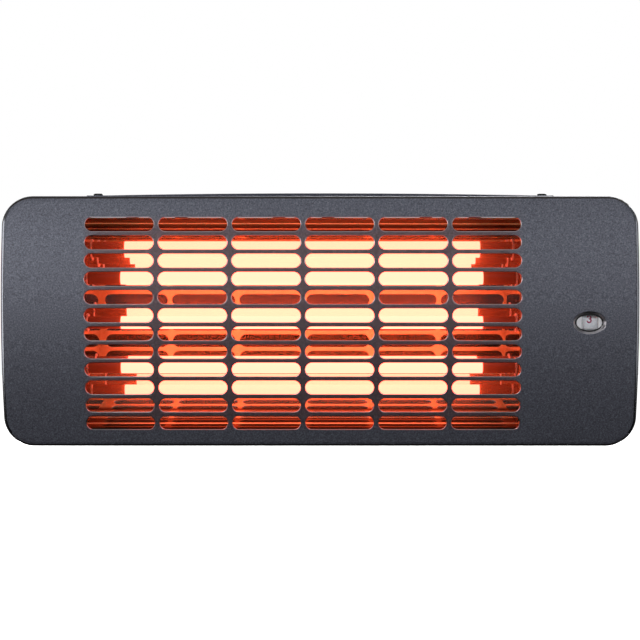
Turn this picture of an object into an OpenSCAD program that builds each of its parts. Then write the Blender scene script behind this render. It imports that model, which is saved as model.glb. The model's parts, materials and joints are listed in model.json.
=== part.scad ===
// Wall-mounted electric bar heater with three quartz tubes behind a slotted, bowed steel cover.
// Millimetres. Origin: centre of the wall bracket's wall face. The wall is the plane y = 0,
// the heater faces -Y, +X is on the right seen from the front, +Z is up.

/* [Front cover] */
// Width of the heater
case_w = 502; // [440:1:600]
// Height of the heater
case_h = 199; // [180:0.5:230]
// Corner radius of the outline
corner_r = 23.5; // [15:0.5:45]
// Radius of the face's bow
bow_r = 380; // [300:5:900]
// Rounding of the front edge
edge_r = 4; // [2.5:0.5:8]
// Depth of the turned-back rim behind the front edge
rim_d = 32; // [28:1:36]
// Distance from the wall to the middle of the face
reach = 131; // [129:1:150]
// Depth of the heater from the middle of the face to its back
body_d = 67; // [66.5:0.5:72]
// Sheet thickness of the cover
cover_t = 1.2; // [0.8:0.1:1.6]

/* [Grille] */
// Columns of slots
slot_cols = 6; // [3:1:6]
// Rows of slots
slot_rows = 12; // [6:1:12]
// Space between the grille and the left side
grille_left = 66; // [60:0.5:75]
// Space between the grille and the right side
grille_right = 93; // [88:0.5:100]
// Height of a slot
slot_h = 10.9; // [8:0.1:11.5]
// Width of the bars between the columns
bar_w = 3.8; // [3:0.1:6]
// Distance between slot rows
slot_pitch_z = 14.27; // [12.5:0.01:14.6]
// Height of the grille's middle
grille_z = -1.3; // [-3:0.1:3]

/* [Window] */
// Distance of the power window's middle from the right side
window_side = 39.6; // [36:0.2:42]
// Length of the window opening
window_w = 20; // [14:0.5:22]
// Height of the window opening
window_h = 11.6; // [8:0.2:14]
// Width of the dimple's border round the opening
dimple_border = 3; // [2:0.1:3.5]
// Depth of the dimple
dimple_d = 2; // [1:0.1:2.5]
// Thickness of the lens flange
lens_t = 1; // [0.8:0.1:1.5]

/* [Rear shell] */
// Sheet thickness of the rear shell
shell_t = 1; // [0.8:0.1:1.2]
// Gap between the cover's rim and the rear shell
shell_gap = 0.3; // [0.2:0.05:0.5]
// Height of the rear shell's back wall
back_h = 130; // [110:1:150]
// Length of an air slot
vent_w = 32; // [20:1:34]
// Width of an air slot
vent_h = 6; // [4:0.5:8]
// Width of the bars between the air slots
vent_bar = 8; // [6:0.5:14]

/* [Heating elements] */
// Outer diameter of a quartz tube
tube_d = 10.3; // [9:0.1:13]
// Wall of a quartz tube
tube_t = 1.2; // [0.8:0.1:1.5]
// Distance between the tubes
tube_pitch = 36; // [34:0.5:38]
// Height of the middle tube
tube_z = -1.9; // [-5:0.1:0]
// Depth of the tubes behind the middle of the face
tube_depth = 38; // [34:0.5:40]
// Unheated length of a tube inside each end of the reflector
cold_l = 27.55; // [16:0.05:40]
// Diameter of the ceramic end caps
cap_d = 19; // [17:0.5:22]
// Length of the ceramic end caps
cap_l = 18; // [14:0.5:20]
// Diameter of the terminal studs
stud_d = 4; // [3:0.5:4]

/* [Reflector] */
// Sheet thickness of the reflector and its end plates
foil_t = 0.8; // [0.5:0.1:1]
// Space between the reflector and the left side
reflector_left = 63; // [58:0.1:74]
// Space between the reflector and the right side, where the switch is
reflector_right = 92.5; // [90:0.1:104]

/* [Tilt bracket] */
// Distance from the tilt axis to the heater's back
pivot_gap = 18; // [16:0.5:20]
// Outer distance across the wall bracket's arms
bracket_w = 280; // [240:1:320]
// Height of the wall bracket
bracket_h = 40; // [30:1:50]
// Thickness of the bracket strips
bracket_t = 2; // [1.5:0.1:3]
// Radius of the rounded ends of the arms
arm_r = 14; // [11:0.5:15]
// Distance between the two wall slots
wall_hole_pitch = 200; // [150:1:210]
// Width of a wall slot
wall_hole_d = 6; // [4:0.5:7]
// End-to-end length of a wall slot
wall_slot_l = 14; // [8:0.5:20]
// Diameter of the clamp studs
pivot_d = 6; // [5:0.5:8]
// Diameter of the clamp knobs
knob_d = 24; // [20:1:28]
// Length of the clamp knobs
knob_l = 14; // [10:1:20]

/* [Pull switch] */
// Depth of the switch shaft behind the middle of the face
shaft_depth = 21; // [20:0.5:24]
// Diameter of the switch shaft
shaft_d = 6; // [4:0.5:7]
// Diameter of the indicator drum
drum_d = 28; // [22:1:30]
// Width of the indicator drum
drum_w = 15; // [12:0.5:16]
// Length of the pull lever from the shaft to its eye
lever_l = 14; // [12:0.5:16]

/* [Screws] */
// Diameter of the cover screws
screw_d = 4; // [3:0.5:5]
// Head diameter of the cover screws
screw_head_d = 7.8; // [6:0.1:9]
// Head height of the cover screws
screw_head_h = 1.7; // [1.5:0.1:3.5]
// Distance of the cover screws from the sides
screw_side = 73; // [66:1:80]
// Distance of the cover screws behind the front of the rim
screw_back = 20; // [16:0.5:24]
// Rise of the top strip above the rim
hood_rise = 1.7; // [1:0.1:6]
// Sheet thickness of the top strip
strip_t = 0.8; // [0.6:0.1:1.2]

/* [Hidden] */

$fn = 48;
fit = 0.05;          // radial clearance of a running fit or a tapped hole
loose = 0.3;         // clearance between neighbouring pieces
fuse = 0.5;          // reach of one shape into another within a piece
cut = 1;             // reach of a cutting shape past the material
rim_lap = 26;        // depth of the rear shell's edge inside the rim
small_r = 1.5;       // radius of the small fixing screws
small_head_r = 3;
small_head_h = 1.8;
plate_t = 1.2;       // inner brackets and strips

// Planes across the depth
back_y = reach - body_d;
pivot_y = back_y - pivot_gap;
face_y = -reach;
bow_y = face_y + bow_r;
rim_y = bow_y - sqrt(pow(bow_r, 2) - pow(case_h / 2, 2));
rim_back_y = rim_y + rim_d;
shell_front_y = rim_back_y - rim_lap;
shell_back_y = -back_y;
tube_y = face_y + tube_depth;
shaft_y = face_y + shaft_depth;
screw_y = rim_y + screw_back;

// Places across the width
side_x = case_w / 2;
screw_x = side_x - screw_side;
window_x = side_x - window_side;
grille_w = case_w - grille_left - grille_right;
grille_x = (grille_left - grille_right) / 2;
slot_w = (grille_w - (slot_cols - 1) * bar_w) / slot_cols;
slot_pitch_x = slot_w + bar_w;
vent_pitch = vent_w + vent_bar;
vent_count = floor((grille_w + 2.5 * vent_bar) / vent_pitch);

// Rear shell
shell_w = case_w - 2 * (cover_t + shell_gap);
shell_h = case_h - 2 * (cover_t + shell_gap);
shell_r = corner_r - cover_t - shell_gap;
shell_in_y = shell_back_y - shell_t;

// Tubes and reflector. A bend is [distance behind the tubes, height]. The deepest bend leaves
// room for the lead that runs along the back
tube_rows = [tube_z + tube_pitch, tube_z, tube_z - tube_pitch];
lead_r = 1.5;
lead_gap = 1.1;
trough_d = shell_in_y - tube_y - foil_t - 2 * (lead_r + lead_gap);
bends = [[-22.1, 81.8], [2.9, 56.2], [trough_d - 5.8, 40.5], [trough_d - 6.7, 22.6], [trough_d - 0.5, -9.5],
  [trough_d - 0.3, -43.6], [6.9, -53], [-21.7, -84.5]];
left_x = reflector_left - side_x;
right_x = side_x - reflector_right;
reflector_x = (left_x + right_x) / 2;
cap_neck_r = cap_d / 2 - 2.1;
tube_bore_r = tube_d / 2 + 0.1;
tube_seat = 8;       // length of tube inside an end cap
coil_r = tube_d / 2 - tube_t - loose;
coil_x0 = left_x + cold_l;
coil_x1 = right_x - cold_l;
stud_in = 12;        // reach of a terminal stud into its cap
stud_out = 11;       // reach of a terminal stud past its cap
nut_h = 3.2;
nut_r = 4;
tag_t = 0.8;
tag_l = 9;            // reach of a tag past its stud
busbar_t = 1.2;
busbar_l = 8;         // reach of the busbar past the studs
left_cap_x = left_x - foil_t - cap_l;
right_cap_x = right_x + foil_t + cap_l;
foot_w = 14;
foot_z = [tube_rows[0] - 2, tube_rows[2] - 2];
foot_xs = [left_x - foil_t / 2 - foot_w / 2, right_x + foil_t / 2 + foot_w / 2];
cutout_z = (tube_rows[0] + tube_rows[1]) / 2;
cutout_r = 7;
cutout_pin_r = 1.5;

// Bracket
arm_in_x = bracket_w / 2 - bracket_t;
washer_t = 1;
washer_r = 10;
weld_nut_r = 6;
weld_nut_h = 5;
ear_out_x = arm_in_x - loose - washer_t;
pivot_r = pivot_d / 2;
stud_tip_x = ear_out_x - bracket_t - weld_nut_h;
hanger_rivet_r = 2;
rivet_side = 50;             // rivets' distance from the hanger bracket's sides
rivet_edge = 8;              // and from its upper and lower edges
hanger_rivet_x = bracket_w / 2 - rivet_side;
hanger_rivet_z = bracket_h / 2 - rivet_edge;
strip_tab = 15;              // width of the strip's end tabs
strip_front = 9;             // strip ahead of its screws
strip_back = 8;              // strip behind the cover's rim

// Window, drum and switch
drum_x0 = window_x - drum_w / 2;
drum_x1 = window_x + drum_w / 2;
lens_back_y = face_y + dimple_d + cover_t + lens_t;
lens_lip = 2;        // reach of the lens flange past the opening
switch_x0 = drum_x1 + 2;
switch_w = 22;
switch_h = 36;
switch_d = 32;
switch_front_y = shaft_y - switch_d / 2;
switch_back_y = shaft_y + switch_d / 2;
lever_t = 5;
lever_x1 = drum_x0 - 1.5;
lever_x0 = lever_x1 - lever_t;
lever_eye_y = shaft_y + lever_l;
lever_eye_x = (lever_x0 + lever_x1) / 2;
lever_hub_r = 7;
bracket_x = switch_x0 + switch_w;
switch_foot_w = 13;
switch_foot_x = bracket_x + plate_t - switch_foot_w / 2;
switch_foot_z = switch_h / 2 - 6;

// Mains entry on the back wall, placed from the right side
gland_x = side_x - 34;
gland_z = -22;
gland_r = 8;
gland_flange_r = 11;
gland_bore_r = 3.6;
block_w = 40;
block_x = [side_x - 14 - block_w, side_x - 14];
block_z = [-60, -46];
block_mid_z = (block_z[0] + block_z[1]) / 2;
block_d = 14;
block_way = 12;      // distance between the ways of the terminal block
block_screw_xs = [block_x[0] + 14, block_x[1] - 14];
clamp_screw_xs = [gland_x - 15, gland_x + 15];
clamp_z = gland_z;
clamp_y = shell_in_y - 9;
clamp_t = 3;
earth_x = block_x[0] - 12;
earth_z = -57;
earth_r = 2;
earth_head_r = 3.6;

// Basic shapes
module block(x, y, z) {
  translate([x[0], y[0], z[0]]) cube([x[1] - x[0], y[1] - y[0], z[1] - z[0]]);
}
module rod_x(r, x0, x1, y, z) {
  translate([x0, y, z]) rotate([0, 90, 0]) cylinder(r = r, h = x1 - x0);
}
module rod_y(r, y0, y1, x, z) {
  translate([x, y1, z]) rotate([90, 0, 0]) cylinder(r = r, h = y1 - y0);
}
module rod_z(r, z0, z1, x, y) {
  translate([x, y, z0]) cylinder(r = r, h = z1 - z0);
}
// Round-ended slot through y0 to y1, w long in X and h high in Z
module slot_y(w, h, y0, y1, x, z) {
  block([x - (w - h) / 2, x + (w - h) / 2], [y0, y1], [z - h / 2, z + h / 2]);
  for (s = [-1, 1]) rod_y(h / 2, y0, y1, x + s * (w - h) / 2, z);
}
module hex_x(r, x0, x1, y, z) {
  translate([x0, y, z]) rotate([0, 90, 0]) cylinder(r = r, h = x1 - x0, $fn = 6);
}
// Rounded rectangle through y0 to y1
module outline(w, h, r, y0, y1) {
  block([-w / 2 + r, w / 2 - r], [y0, y1], [-h / 2, h / 2]);
  block([-w / 2, w / 2], [y0, y1], [-h / 2 + r, h / 2 - r]);
  for (sx = [-1, 1], sz = [-1, 1]) rod_y(r, y0, y1, sx * (w / 2 - r), sz * (h / 2 - r));
}
// Extrudes a profile drawn as [y, z] along X
module along_x(x0, x1) {
  translate([x0, 0, 0]) rotate([90, 0, 90]) linear_extrude(x1 - x0) children();
}

// A thin round lead along hand-chosen points, rounded by a spline
function spline(a, b, c, d, t) = 0.5 * (2 * b + (c - a) * t + (2 * a - 5 * b + 4 * c - d) * t * t
  + (3 * b - a - 3 * c + d) * t * t * t);
function routed(p, steps) = let (n = len(p) - 1) [for (i = [0:n - 1], s = [0:steps - 1])
  spline(p[max(i - 1, 0)], p[i], p[i + 1], p[min(i + 2, n)], s / steps), p[n]];
function unit(v) = v / norm(v);
module lead(p, r, steps = 4, sides = 8) {
  q = routed(p, steps);
  n = len(q);
  up = [0.36, 0.48, 0.8];
  rings = [for (i = [0:n - 1]) let (
    along = unit(q[min(i + 1, n - 1)] - q[max(i - 1, 0)]),
    u = unit(cross(along, up)),
    v = cross(along, u)) for (k = [0:sides - 1])
      q[i] + r * (cos(360 * k / sides) * u + sin(360 * k / sides) * v)];
  side_faces = [for (i = [0:n - 2], k = [0:sides - 1]) let (
    a = i * sides + k, b = i * sides + (k + 1) % sides)
      each [[a, b, a + sides], [b, b + sides, a + sides]]];
  first = [for (k = [1:sides - 2]) [0, k + 1, k]];
  end = (n - 1) * sides;
  last = [for (k = [1:sides - 2]) [end, end + k, end + k + 1]];
  polyhedron(points = rings, faces = concat(side_faces, first, last));
}

// Body of the cover drawn in by inset: bowed face, round corners and a rounded front edge
module cover_form(inset, y1) {
  w = case_w - 2 * inset;
  h = case_h - 2 * inset;
  r = bow_r - inset;
  e = edge_r - inset;
  yc = bow_y - sqrt(pow(r - e, 2) - pow(h / 2 - e, 2));
  tip = 1.2 * r / (r - e);
  intersection() {
    outline(w, h, corner_r - inset, face_y - cut, y1);
    translate([0, bow_y, 0]) rotate([0, 90, 0]) rotate_extrude($fn = 96) {
      translate([0, -w / 2 + e]) square([r, w - 2 * e]);
      translate([0, -w / 2]) square([r - e, w]);
      for (s = [-1, 1]) translate([r - e, s * (w / 2 - e)]) circle(e);
    }
    along_x(-w / 2, w / 2) union() {
      translate([yc, -h / 2]) square([y1 - yc, h]);
      polygon([[bow_y, 0], [bow_y + tip * (yc - bow_y), tip * (h / 2 - e)],
        [bow_y + tip * (yc - bow_y), -tip * (h / 2 - e)]]);
      for (s = [-1, 1]) translate([yc, s * (h / 2 - e)]) circle(e);
    }
  }
}

module front_cover() color([0.33, 0.34, 0.38]) difference() {
  union() {
    difference() {
      cover_form(0, rim_back_y);
      cover_form(cover_t, rim_back_y + cut);
    }
    slot_y(window_w + 2 * (dimple_border + cover_t), window_h + 2 * (dimple_border + cover_t),
      face_y + cover_t / 2 + 0.6, face_y + dimple_d + cover_t, window_x, 0);
  }
  slot_y(window_w + 2 * dimple_border, window_h + 2 * dimple_border,
    face_y - cut, face_y + dimple_d, window_x, 0);
  slot_y(window_w, window_h, face_y, face_y + dimple_d + cover_t + cut, window_x, 0);
  for (i = [0:slot_cols - 1], j = [0:slot_rows - 1])
    slot_y(slot_w, slot_h, face_y - cut, rim_y + cut, grille_x + (i - (slot_cols - 1) / 2) * slot_pitch_x,
      grille_z + (j - (slot_rows - 1) / 2) * slot_pitch_z);
  for (s = [-1, 1])
    rod_z(screw_d / 2 + fit, -case_h / 2 - cut, case_h / 2 + cut, s * screw_x, screw_y);
  rod_z(5, -case_h / 2 - cut, -case_h / 2 + cover_t + cut, lever_eye_x, lever_eye_y);
}

module cover_screws() color([0.08, 0.08, 0.09]) for (sx = [-1, 1], sz = [-1, 1])
  translate([sx * screw_x, screw_y, 0]) mirror([0, 0, sz < 0 ? 1 : 0]) {
    seat = case_h / 2 + (sz > 0 ? strip_t : 0);
    rod_z(screw_d / 2, seat - 7, seat + fuse, 0, 0);
    difference() {
      translate([0, 0, seat]) rotate_extrude() intersection() {
        square([screw_head_d / 2, screw_head_h]);
        translate([0, -5.2]) circle(5.2 + screw_head_h, $fn = 96);
      }
      for (a = [0, 90]) rotate([0, 0, a])
        block([-2.2, 2.2], [-0.45, 0.45], [seat + screw_head_h - 1, seat + screw_head_h + cut]);
    }
  }

// Arched strip held under the two top screws. Its front edge turns down to the rim
module top_strip() color([0.4, 0.41, 0.44]) {
  half = screw_x - strip_tab / 2 + 0.5;
  arch_r = (pow(half, 2) + pow(hood_rise, 2)) / (2 * hood_rise);
  arch_z = case_h / 2 + strip_t + hood_rise - arch_r;
  y = [screw_y - strip_front, rim_back_y + strip_back];
  difference() {
    union() {
      for (s = [-1, 1]) block([s * (screw_x + 0.5) - strip_tab / 2, s * (screw_x + 0.5) + strip_tab / 2], y,
        [case_h / 2, case_h / 2 + strip_t]);
      intersection() {
        block([-half, half], y, [case_h / 2, case_h / 2 + hood_rise + 2 * strip_t]);
        difference() {
          rod_y(arch_r, y[0], y[1], 0, arch_z, $fn = 720);
          rod_y(arch_r - strip_t, y[0] + strip_t, y[1] + cut, 0, arch_z, $fn = 720);
        }
      }
    }
    for (s = [-1, 1])
      rod_z(screw_d / 2 + fit, case_h / 2 - cut, case_h / 2 + strip_t + cut, s * screw_x, screw_y);
  }
}

// Rear shell drawn in by inset: full height inside the rim, then sloping to the back wall
module shell_form(inset, y0) {
  h = shell_h / 2;
  b = back_h / 2;
  slope = norm([shell_back_y - rim_back_y, h - b]);
  ny = (h - b) / slope;
  nz = (shell_back_y - rim_back_y) / slope;
  y_top = rim_back_y + (nz * inset - inset) / ny;
  z_back = h + (ny * (inset - (shell_back_y - rim_back_y)) - inset) / nz;
  intersection() {
    outline(shell_w - 2 * inset, shell_h - 2 * inset, shell_r - inset, y0, shell_back_y - inset);
    along_x(-case_w / 2, case_w / 2) polygon([[y0, h - inset], [y_top, h - inset],
      [shell_back_y - inset, z_back], [shell_back_y - inset, -z_back],
      [y_top, -h + inset], [y0, -h + inset]]);
  }
}

module rear_shell() color([0.25, 0.26, 0.29]) difference() {
  shell_form(0, shell_front_y);
  shell_form(shell_t, shell_front_y - cut);
  for (i = [0:vent_count - 1], s = [-1, 1]) {
    x = (i - (vent_count - 1) / 2) * vent_pitch + grille_x;
    y = (rim_back_y + shell_back_y) / 2;
    block([x - (vent_w - vent_h) / 2, x + (vent_w - vent_h) / 2], [y - vent_h / 2, y + vent_h / 2],
      s > 0 ? [back_h / 2, case_h / 2] : [-case_h / 2, -back_h / 2]);
    for (e = [-1, 1]) rod_z(vent_h / 2, s > 0 ? back_h / 2 : -case_h / 2,
      s > 0 ? case_h / 2 : -back_h / 2, x + e * (vent_w - vent_h) / 2, y);
  }
  for (s = [-1, 1])
    rod_z(screw_d / 2 + fit, -case_h / 2 - cut, case_h / 2 + cut, s * screw_x, screw_y);
  rod_z(5, -case_h / 2 - cut, -case_h / 2 + 6, lever_eye_x, lever_eye_y);
  rod_y(gland_r + fit, shell_in_y - cut, shell_back_y + cut, gland_x, gland_z);
  for (sx = [-1, 1], sz = [-1, 1])
    rod_y(hanger_rivet_r + fit, shell_in_y - cut, shell_back_y + cut,
      sx * hanger_rivet_x, sz * hanger_rivet_z);
  for (z = foot_z, x = foot_xs)
    rod_y(small_r + fit, shell_in_y - cut, shell_back_y + cut, x, z);
  for (x = block_screw_xs)
    rod_y(small_r + fit, shell_in_y - cut, shell_back_y + cut, x, block_mid_z);
  for (x = clamp_screw_xs) rod_y(small_r + fit, shell_in_y - cut, shell_back_y + cut, x, clamp_z);
  rod_y(small_r + fit, shell_in_y - cut, shell_back_y + cut, switch_foot_x, switch_foot_z);
  rod_y(earth_r + fit, shell_in_y - cut, shell_back_y + cut, earth_x, earth_z);
}

// Window
module window_lens() color([0.85, 0.87, 0.88, 0.5]) {
  slot_y(window_w - 0.4, window_h - 0.4, face_y + dimple_d + 0.2, lens_back_y - fuse, window_x, 0);
  slot_y(window_w + 2 * lens_lip, window_h + 2 * lens_lip,
    lens_back_y - lens_t, lens_back_y, window_x, 0);
}
module lens_retainer() color([0.75, 0.76, 0.78]) difference() {
  slot_y(window_w + 2 * lens_lip + 4, window_h + 2 * lens_lip + 4,
    lens_back_y - lens_t, lens_back_y + 0.6, window_x, 0);
  slot_y(window_w + 2 * lens_lip + 0.2, window_h + 2 * lens_lip + 0.2,
    lens_back_y - lens_t - cut, lens_back_y, window_x, 0);
  slot_y(window_w - 1, window_h - 1, face_y, lens_back_y + cut, window_x, 0);
}

// Reflector: one folded sheet, its thickness behind the bend line
module bend_line(behind) {
  n = len(bends) - 1;
  polygon(concat(
    [for (i = [0:n]) [tube_y + bends[i][0], bends[i][1]]],
    [for (i = [n:-1:0]) [tube_y + bends[i][0] + behind, bends[i][1]
      + (i == 0 ? behind * 0.94 : i == n ? -behind * 0.94 : 0)]]));
}
module reflector() color([0.85, 0.85, 0.86]) along_x(left_x, right_x) bend_line(foil_t);
// End plate: closes one end of the reflector, s = -1 on the left and 1 on the right
module end_plate(s) {
  x = s < 0 ? [left_x - foil_t, left_x] : [right_x, right_x + foil_t];
  n = len(bends) - 1;
  difference() {
    union() {
      along_x(x[0], x[1]) polygon(concat([for (i = [0:n]) [tube_y + bends[i][0] + (i > 0 && i < n
        ? foil_t : 0), bends[i][1]]]));
      for (z = foot_z) {
        block(x, [tube_y + 10, shell_in_y], [z - 7, z + 7]);
        block(s < 0 ? [x[0] - foot_w, x[1]] : [x[0], x[1] + foot_w],
          [shell_in_y - foil_t, shell_in_y], [z - 7, z + 7]);
      }
    }
    for (z = tube_rows) rod_x(cap_neck_r + 0.1, x[0] - cut, x[1] + cut, tube_y, z);
    for (z = foot_z) rod_y(small_r + fit, shell_in_y - 2, shell_in_y + cut, foot_xs[s < 0 ? 0 : 1], z);
    if (s > 0) rod_x(cutout_pin_r + fit, x[0] - cut, x[1] + cut, tube_y, cutout_z);
  }
}
module left_end_plate() color([0.8, 0.8, 0.82]) end_plate(-1);
module right_end_plate() color([0.8, 0.8, 0.82]) end_plate(1);
module end_plate_screws() color([0.7, 0.7, 0.72]) for (x = foot_xs, z = foot_z) {
  rod_y(small_r, shell_in_y - foil_t - 2, shell_back_y + fuse, x, z);
  rod_y(small_head_r, shell_back_y, shell_back_y + small_head_h, x, z);
}

// Heating elements
module quartz_tube(z) color([0.95, 0.75, 0.55, 0.5]) difference() {
  rod_x(tube_d / 2, left_x - foil_t - tube_seat, right_x + foil_t + tube_seat, tube_y, z);
  rod_x(tube_d / 2 - tube_t, left_x - 20, right_x + 20, tube_y, z);
}
module quartz_tube_top() quartz_tube(tube_rows[0]);
module quartz_tube_middle() quartz_tube(tube_rows[1]);
module quartz_tube_bottom() quartz_tube(tube_rows[2]);
module heating_coil(z) color([1, 0.9, 0.65]) {
  rod_x(coil_r, coil_x0, coil_x1, tube_y, z);
  rod_x(1, left_cap_x + stud_in, right_cap_x - stud_in, tube_y, z);
}
module heating_coil_top() heating_coil(tube_rows[0]);
module heating_coil_middle() heating_coil(tube_rows[1]);
module heating_coil_bottom() heating_coil(tube_rows[2]);

// Draws children on the left as they are, and on the right mirrored about the reflector's middle
module at_end(s) {
  if (s < 0) children();
  else translate([reflector_x, 0, 0]) mirror([1, 0, 0]) translate([-reflector_x, 0, 0]) children();
}
module end_caps(s) color([0.93, 0.9, 0.85]) at_end(s) for (z = tube_rows) difference() {
  union() {
    rod_x(cap_d / 2, left_cap_x, left_x - foil_t, tube_y, z);
    rod_x(cap_neck_r, left_x - foil_t - fuse, left_x + 0.6, tube_y, z);
  }
  rod_x(tube_bore_r, left_x - foil_t - tube_seat - 0.1, left_x + 2, tube_y, z);
  rod_x(stud_d / 2 + 0.1, left_cap_x - cut, left_x, tube_y, z);
}
module left_end_caps() end_caps(-1);
module right_end_caps() end_caps(1);
module terminal_studs(s) color([0.78, 0.78, 0.8]) at_end(s) for (z = tube_rows)
  rod_x(stud_d / 2, left_cap_x - stud_out, left_cap_x + stud_in, tube_y, z);
module left_terminal_studs() terminal_studs(-1);
module right_terminal_studs() terminal_studs(1);
// Two nuts on each stud, with a strip or tag of thickness t clamped between them
module terminal_nuts(s, t) color([0.75, 0.73, 0.6]) at_end(s) for (z = tube_rows, k = [0, 1]) difference() {
  x1 = left_cap_x - k * (nut_h + t);
  hex_x(nut_r, x1 - nut_h, x1, tube_y, z);
  rod_x(stud_d / 2 + fit, x1 - nut_h - cut, x1 + cut, tube_y, z);
}
module left_terminal_nuts() terminal_nuts(-1, busbar_t);
module right_terminal_nuts() terminal_nuts(1, tag_t);
module neutral_busbar() color([0.8, 0.65, 0.35]) difference() {
  x1 = left_cap_x - nut_h;
  block([x1 - busbar_t, x1], [tube_y - 5, tube_y + busbar_l], [tube_rows[2] - 6, tube_rows[0] + 6]);
  for (z = tube_rows) rod_x(stud_d / 2 + fit, x1 - 3, x1 + cut, tube_y, z);
}
tag_x = right_cap_x + nut_h;
module live_tags() color([0.8, 0.65, 0.35]) for (z = tube_rows) difference() {
  union() {
    rod_x(4.4, tag_x, tag_x + tag_t, tube_y, z);
    block([tag_x, tag_x + tag_t], [tube_y, tube_y + tag_l], [z - 2, z + 2]);
  }
  rod_x(stud_d / 2 + fit, tag_x - cut, tag_x + 2, tube_y, z);
}

// Internal leads, route points chosen by hand from named places
lead_low = 17;       // distance of the neutral lead below the middle tube
joined = 0.4;        // gap between a lead's end and its terminal
tag_mid_x = tag_x + tag_t / 2;
switch_ports_z = [12, 2, -8];      // heights of the switch's outlets
block_port = [block_x[0] - joined, shell_in_y - 8, block_z[0] + 7];
module live_lead(i) {
  z = tube_rows[i];
  port_z = switch_ports_z[i];
  lead([[tag_mid_x, tube_y + tag_l + joined, z], [tag_mid_x, tube_y + tag_l + 3, z],
    [tag_mid_x + 8, tube_y + 18, z * 0.9], [(tag_mid_x + switch_x0) / 2 + 4, tube_y + 10, (z + port_z) / 2],
    [switch_x0 + 7, switch_back_y + 13, port_z], [switch_x0 + 10, switch_back_y + 7, port_z],
    [switch_x0 + 10, switch_back_y + joined, port_z]], lead_r, 3);
}
module live_lead_top() color([0.45, 0.25, 0.15]) live_lead(0);
module live_lead_middle() color([0.45, 0.25, 0.15]) live_lead(1);
module live_lead_bottom() color([0.45, 0.25, 0.15]) live_lead(2);
module neutral_lead() color([0.2, 0.35, 0.7]) {
  x0 = left_cap_x - nut_h - busbar_t / 2;
  y = shell_in_y - lead_r - lead_gap;
  z = tube_z - lead_low;
  x1 = x0 + 16;
  x2 = block_port[0] - 17;
  run = [for (f = [0, 0.1, 0.3, 0.5, 0.7, 0.9]) [x1 + f * (x2 - x1), y, z]];
  lead(concat([[x0, tube_y + busbar_l + joined, z], [x0, tube_y + busbar_l + 4, z], [x0 + 5, y - 4, z]],
    run, [[x2, y, z - 12], [x2 + 6, y - 3, block_port[2] + 13], block_port - [5, 0, 0], block_port]),
    lead_r, 4);
}

module thermal_cutout() color([0.2, 0.2, 0.22]) {
  x = right_x + foil_t;
  rod_x(cutout_r, x, x + 5, tube_y, cutout_z);
  rod_x(cutout_pin_r, x - foil_t, x + fuse, tube_y, cutout_z);
  for (s = [-1, 1]) block([x + 4.5, x + 11], [tube_y + s * 3 - 0.4, tube_y + s * 3 + 0.4],
    [cutout_z - 2.4, cutout_z + 2.4]);
}

// Pull switch
module switch_body() color([0.9, 0.9, 0.88]) difference() {
  block([switch_x0, switch_x0 + switch_w], [switch_front_y, switch_back_y], [-switch_h / 2, switch_h / 2]);
  rod_x(shaft_d / 2 + fit, switch_x0 - cut, switch_x0 + switch_w - 4, shaft_y, 0);
}
module switch_bracket() color([0.7, 0.7, 0.72]) difference() {
  union() {
    block([bracket_x, bracket_x + plate_t], [switch_front_y + 4, shell_in_y], [2, switch_h / 2]);
    block([bracket_x + plate_t - switch_foot_w, bracket_x + plate_t], [shell_in_y - plate_t, shell_in_y],
      [2, switch_h / 2 + 2]);
  }
  rod_y(small_r + fit, shell_in_y - 3, shell_in_y + cut, switch_foot_x, switch_foot_z);
}
module switch_screw() color([0.7, 0.7, 0.72]) {
  rod_y(small_r, shell_in_y - 3.5, shell_back_y + fuse, switch_foot_x, switch_foot_z);
  rod_y(small_head_r, shell_back_y, shell_back_y + small_head_h, switch_foot_x, switch_foot_z);
}
module switch_shaft() color([0.8, 0.8, 0.78])
  rod_x(shaft_d / 2, lever_x0 - 2, switch_x0 + switch_w - 5, shaft_y, 0);
module indicator_drum() color([0.82, 0.83, 0.84]) difference() {
  rod_x(drum_d / 2, drum_x0, drum_x1, shaft_y, 0);
  rod_x(shaft_d / 2 + 0.02, drum_x0 - cut, drum_x1 + cut, shaft_y, 0);
}
module pull_lever() color([0.9, 0.9, 0.88]) difference() {
  union() {
    rod_x(lever_hub_r, lever_x0, lever_x1, shaft_y, 0);
    block([lever_x0, lever_x1], [shaft_y, lever_eye_y], [-3.5, 3.5]);
    rod_z(lever_t / 2, -3.5, 3.5, lever_eye_x, lever_eye_y);
  }
  rod_x(shaft_d / 2 + fit, lever_x0 - cut, lever_x1 + cut, shaft_y, 0);
  rod_z(1.2, -5, 5, lever_eye_x, lever_eye_y);
}
module cord_eyelet() color([0.12, 0.12, 0.13]) difference() {
  z0 = -case_h / 2;
  union() {
    rod_z(7, z0 - 1.5, z0, lever_eye_x, lever_eye_y);
    rod_z(4.9, z0 - fuse, z0 + 5, lever_eye_x, lever_eye_y);
  }
  rod_z(2.5, z0 - 3, z0 + 7, lever_eye_x, lever_eye_y);
}

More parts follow.
